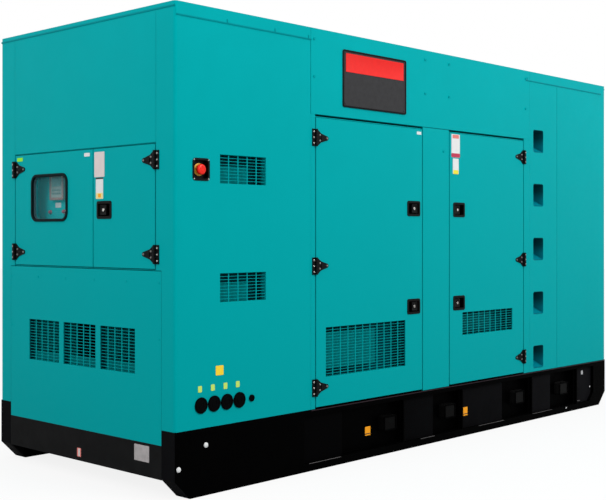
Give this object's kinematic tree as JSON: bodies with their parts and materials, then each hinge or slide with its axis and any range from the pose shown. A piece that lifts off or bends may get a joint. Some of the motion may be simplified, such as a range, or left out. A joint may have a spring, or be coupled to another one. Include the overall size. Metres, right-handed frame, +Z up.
{
  "type": "silenced diesel generator set",
  "caption": "Canopied diesel generator on a black skid with hinged side doors, a windowed control door, mesh air inlets and recessed steps.",
  "frame": {"origin": "centre of the overall footprint, on the ground", "axes": "+X along the length, from the control end to the radiator end; +Z up; the long side with the emergency stop faces -Y"},
  "size_m": [4.065, 1.505, 2.3],
  "materials": {
    "panel_paint": "satin powder coat",
    "skid_paint": "satin black paint",
    "controller_case": "matt grey moulding",
    "black_plastic": "matt black moulding",
    "red_button": "glossy red moulding",
    "cap_rubber": "matt black rubber",
    "plate_metal": "satin dark grey enamel",
    "hinge_iron": "black coated casting",
    "engine_iron": "grey painted casting",
    "alternator_paint": "satin paint",
    "radiator_metal": "matt black paint",
    "silencer_steel": "dull heated steel",
    "seal_rubber": "black sealing rubber",
    "window_glass": "clear safety glass"
  },
  "bodies": {
    "generator": {"skid_rails": "skid_paint", "skid_bosses": "skid_paint", "skid_end_plates": "skid_paint", "fuel_tank": "skid_paint", "base_deck": "skid_paint", "door_posts": "panel_paint", "side_panels": "panel_paint", "headers": "panel_paint", "step_panels": "panel_paint", "step_pockets": "panel_paint", "tail_panels": "panel_paint", "roof_panel": "panel_paint", "control_end_upper_panel": "panel_paint", "control_end_lower_panel": "panel_paint", "radiator_end_upper_panel": "panel_paint", "radiator_end_lower_panel": "panel_paint", "control_cabinet": "panel_paint", "controller": "controller_case", "estop_housing": "black_plastic", "cable_entry_caps": "cap_rubber", "name_plates": "plate_metal", "fixed_hinge_leaves": "hinge_iron", "engine": "engine_iron", "alternator": "alternator_paint", "fan": "black_plastic", "radiator": "radiator_metal", "silencer": "silencer_steel"},
    "emergency_stop": {"estop_button": "red_button"},
    "window_door": {"window_door": "panel_paint", "window_frame": "seal_rubber", "window_glass": "window_glass", "window_door_hinges": "hinge_iron"},
    "latch_door": {"latch_door": "panel_paint", "latch_door_hinges": "hinge_iron", "latch_door_latch": "black_plastic"},
    "latch_door_paddle": {"latch_door_paddle": "black_plastic"},
    "front_door_1": {"front_door_1": "panel_paint", "front_door_1_hinges": "hinge_iron", "front_door_1_latches": "black_plastic"},
    "front_door_1_upper_paddle": {"front_door_1_upper_paddle": "black_plastic"},
    "front_door_1_lower_paddle": {"front_door_1_lower_paddle": "black_plastic"},
    "front_door_2": {"front_door_2": "panel_paint", "front_door_2_hinges": "hinge_iron", "front_door_2_latches": "black_plastic"},
    "front_door_2_upper_paddle": {"front_door_2_upper_paddle": "black_plastic"},
    "front_door_2_lower_paddle": {"front_door_2_lower_paddle": "black_plastic"},
    "rear_door_1": {"rear_door_1": "panel_paint", "rear_door_1_hinges": "hinge_iron", "rear_door_1_latches": "black_plastic"},
    "rear_door_1_upper_paddle": {"rear_door_1_upper_paddle": "black_plastic"},
    "rear_door_1_lower_paddle": {"rear_door_1_lower_paddle": "black_plastic"},
    "rear_door_2": {"rear_door_2": "panel_paint", "rear_door_2_hinges": "hinge_iron", "rear_door_2_latches": "black_plastic"},
    "rear_door_2_upper_paddle": {"rear_door_2_upper_paddle": "black_plastic"},
    "rear_door_2_lower_paddle": {"rear_door_2_lower_paddle": "black_plastic"}
  },
  "joints": [
    {"name": "front_door_1_swing", "type": "hinge", "parent": "generator", "child": "front_door_1", "pos_m": [-1.068, -0.7455, 1.058], "axis": [0, 0, -1], "range_deg": [0, 110]},
    {"name": "front_door_1_upper_paddle_pull", "type": "hinge", "parent": "front_door_1", "child": "front_door_1_upper_paddle", "pos_m": [-0.1985, -0.731, 1.375], "axis": [0, 0, 1], "range_deg": [0, 35], "stiffness_Nm_per_rad": 0.4, "springref_deg": -11.46},
    {"name": "front_door_1_lower_paddle_pull", "type": "hinge", "parent": "front_door_1", "child": "front_door_1_lower_paddle", "pos_m": [-0.1985, -0.731, 0.812], "axis": [0, 0, 1], "range_deg": [0, 35], "stiffness_Nm_per_rad": 0.4, "springref_deg": -11.46},
    {"name": "front_door_2_swing", "type": "hinge", "parent": "generator", "child": "front_door_2", "pos_m": [0.938, -0.7455, 1.058], "axis": [0, 0, 1], "range_deg": [0, 110]},
    {"name": "front_door_2_upper_paddle_pull", "type": "hinge", "parent": "front_door_2", "child": "front_door_2_upper_paddle", "pos_m": [0.1755, -0.731, 1.375], "axis": [0, 0, -1], "range_deg": [0, 35], "stiffness_Nm_per_rad": 0.4, "springref_deg": -11.46},
    {"name": "front_door_2_lower_paddle_pull", "type": "hinge", "parent": "front_door_2", "child": "front_door_2_lower_paddle", "pos_m": [0.1755, -0.731, 0.812], "axis": [0, 0, -1], "range_deg": [0, 35], "stiffness_Nm_per_rad": 0.4, "springref_deg": -11.46},
    {"name": "rear_door_1_swing", "type": "hinge", "parent": "generator", "child": "rear_door_1", "pos_m": [-1.068, 0.7455, 1.058], "axis": [0, 0, 1], "range_deg": [0, 110]},
    {"name": "rear_door_1_upper_paddle_pull", "type": "hinge", "parent": "rear_door_1", "child": "rear_door_1_upper_paddle", "pos_m": [-0.1985, 0.731, 1.375], "axis": [0, 0, -1], "range_deg": [0, 35], "stiffness_Nm_per_rad": 0.4, "springref_deg": -11.46},
    {"name": "rear_door_1_lower_paddle_pull", "type": "hinge", "parent": "rear_door_1", "child": "rear_door_1_lower_paddle", "pos_m": [-0.1985, 0.731, 0.812], "axis": [0, 0, -1], "range_deg": [0, 35], "stiffness_Nm_per_rad": 0.4, "springref_deg": -11.46},
    {"name": "rear_door_2_swing", "type": "hinge", "parent": "generator", "child": "rear_door_2", "pos_m": [0.938, 0.7455, 1.058], "axis": [0, 0, -1], "range_deg": [0, 110]},
    {"name": "rear_door_2_upper_paddle_pull", "type": "hinge", "parent": "rear_door_2", "child": "rear_door_2_upper_paddle", "pos_m": [0.1755, 0.731, 1.375], "axis": [0, 0, 1], "range_deg": [0, 35], "stiffness_Nm_per_rad": 0.4, "springref_deg": -11.46},
    {"name": "rear_door_2_lower_paddle_pull", "type": "hinge", "parent": "rear_door_2", "child": "rear_door_2_lower_paddle", "pos_m": [0.1755, 0.731, 0.812], "axis": [0, 0, 1], "range_deg": [0, 35], "stiffness_Nm_per_rad": 0.4, "springref_deg": -11.46},
    {"name": "window_door_swing", "type": "hinge", "parent": "generator", "child": "window_door", "pos_m": [-2.0255, 0.597, 1.358], "axis": [0, 0, -1], "range_deg": [0, 110]},
    {"name": "latch_door_swing", "type": "hinge", "parent": "generator", "child": "latch_door", "pos_m": [-2.0255, -0.597, 1.358], "axis": [0, 0, 1], "range_deg": [0, 110]},
    {"name": "latch_door_paddle_pull", "type": "hinge", "parent": "latch_door", "child": "latch_door_paddle", "pos_m": [-2.011, -0.164, 1.347], "axis": [0, 0, -1], "range_deg": [0, 35], "stiffness_Nm_per_rad": 0.4, "springref_deg": -11.46},
    {"name": "emergency_stop_press", "type": "slide", "parent": "generator", "child": "emergency_stop", "axis": [0, 1, 0], "range_m": [0, 0.005], "stiffness_N_per_m": 900, "springref_m": -0.001}
  ]
}
